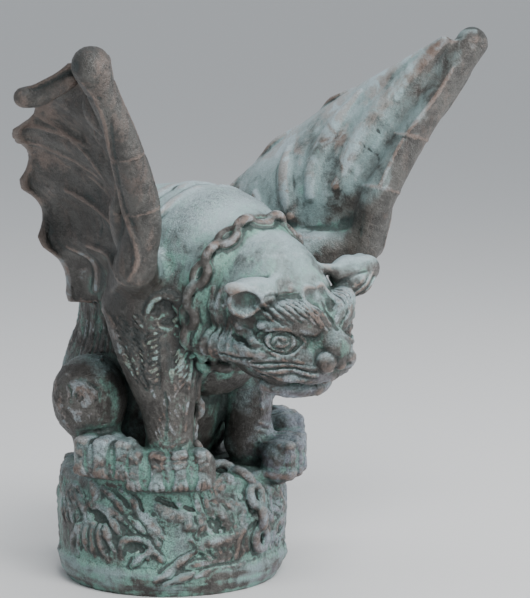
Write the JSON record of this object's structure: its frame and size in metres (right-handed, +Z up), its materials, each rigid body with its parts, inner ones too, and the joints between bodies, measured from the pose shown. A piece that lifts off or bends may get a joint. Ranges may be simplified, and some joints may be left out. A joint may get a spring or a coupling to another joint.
{
  "type": "winged garden gargoyle",
  "caption": "Crouching winged beast with a chain collar on a round carved drum, cast in one piece; a standing ornament for a pier, parapet or garden.",
  "frame": {"origin": "centre of the drum's flat underside", "axes": "+Z up out of the drum, the beast faces -Y, its left side is +X"},
  "size_m": [0.4907, 0.3699, 0.5435],
  "materials": {
    "patinated_stone": "cast stone with an aged bronze finish: dark brown ground, verdigris in the hollows, pale rubbed ridges"
  },
  "bodies": {
    "root": {"gargoyle": "patinated_stone"}
  },
  "joints": []
}
